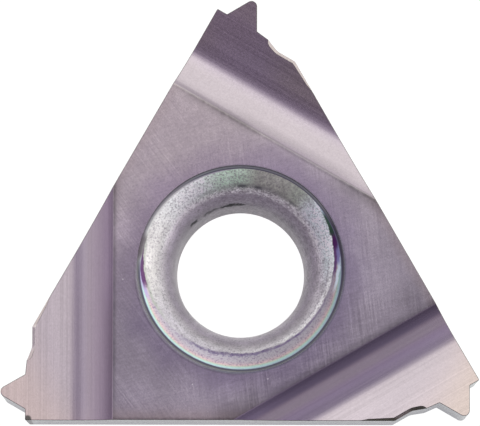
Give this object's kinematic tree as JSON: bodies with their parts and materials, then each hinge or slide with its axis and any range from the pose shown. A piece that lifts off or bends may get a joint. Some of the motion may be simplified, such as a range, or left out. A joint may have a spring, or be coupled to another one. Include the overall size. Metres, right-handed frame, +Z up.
{
  "type": "threading insert",
  "caption": "Triangular laydown cutting insert of coated carbide, with a ground thread-form tooth and chip groove at each corner and a countersunk screw hole through its middle.",
  "frame": {"origin": "middle of the base of the bounding box; the screw hole's axis passes 0.015 mm to +X and 1.853 mm to -Y of it", "axes": "+Z up out of the top face, through the thickness; one long side faces -Y, and one tooth points along -X"},
  "size_m": [0.015, 0.0132, 0.0035],
  "materials": {
    "coated_carbide": "ground cemented carbide under a thin violet-grey coating, satin, with fine grinding lines"
  },
  "bodies": {
    "root": {"insert": "coated_carbide"}
  },
  "joints": []
}
